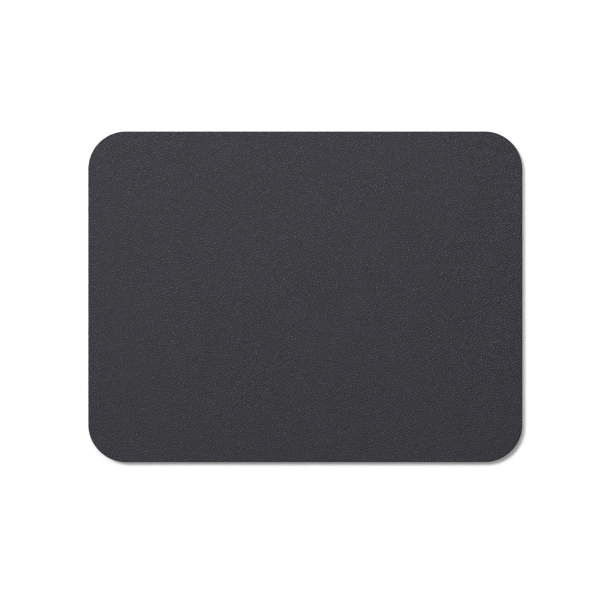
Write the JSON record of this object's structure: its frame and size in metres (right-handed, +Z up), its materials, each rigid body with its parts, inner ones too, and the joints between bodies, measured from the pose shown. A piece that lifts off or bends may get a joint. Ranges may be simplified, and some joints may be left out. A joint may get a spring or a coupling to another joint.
{
  "type": "mouse pad",
  "caption": "Flat mouse pad with large round corners: an embossed leatherette face on woven cloth, bonded to a non-slip rubber base with a zigzag tread.",
  "frame": {"origin": "middle of the underside, on the surface that the pad lies on", "axes": "+X along the long side, to the user's right; +Y away from the user; +Z up, out of the leatherette face"},
  "size_m": [0.2666, 0.2032, 0.003],
  "materials": {
    "leatherette_skin": "satin",
    "foam_coat": "matte",
    "backing_cloth": "matte",
    "bonding_film": "satin",
    "base_rubber": "matte"
  },
  "bodies": {
    "root": {"grain_skin": "leatherette_skin", "foam_coat": "foam_coat", "backing_cloth": "backing_cloth", "bonding_film": "bonding_film", "rubber_base": "base_rubber"}
  },
  "joints": []
}
